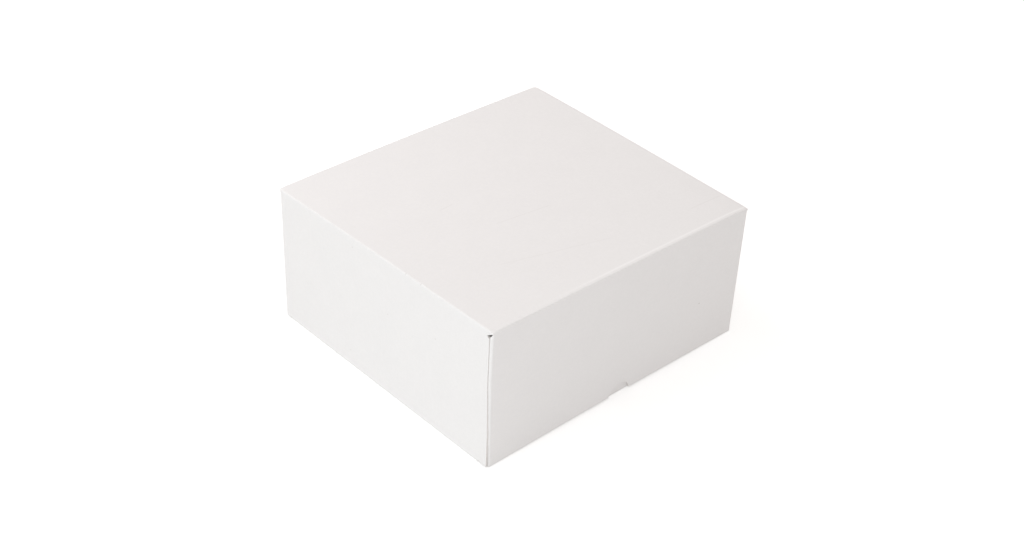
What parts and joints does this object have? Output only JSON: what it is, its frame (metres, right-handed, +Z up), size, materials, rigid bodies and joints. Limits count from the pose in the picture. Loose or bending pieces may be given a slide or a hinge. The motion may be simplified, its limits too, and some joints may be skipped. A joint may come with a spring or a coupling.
{
  "type": "cake box",
  "caption": "White micro-corrugated cake box: a deep lift-off lid with thumb notches over a low folded tray.",
  "frame": {"origin": "middle of the base, on the surface that the closed box stands on", "axes": "+Z up; +X along the end walls with the thumb notches; +Y along the rolled-over side walls"},
  "size_m": [0.24, 0.22, 0.108],
  "materials": {
    "lid_board": "matte white-lined board",
    "tray_board": "matte white-lined board"
  },
  "bodies": {
    "tray": {"tray": "tray_board"},
    "lid": {"lid": "lid_board"}
  },
  "joints": [
    {"name": "lid_lift", "type": "slide", "parent": "tray", "child": "lid", "axis": [0, 0, 1], "range_m": [0, 0.12]}
  ]
}
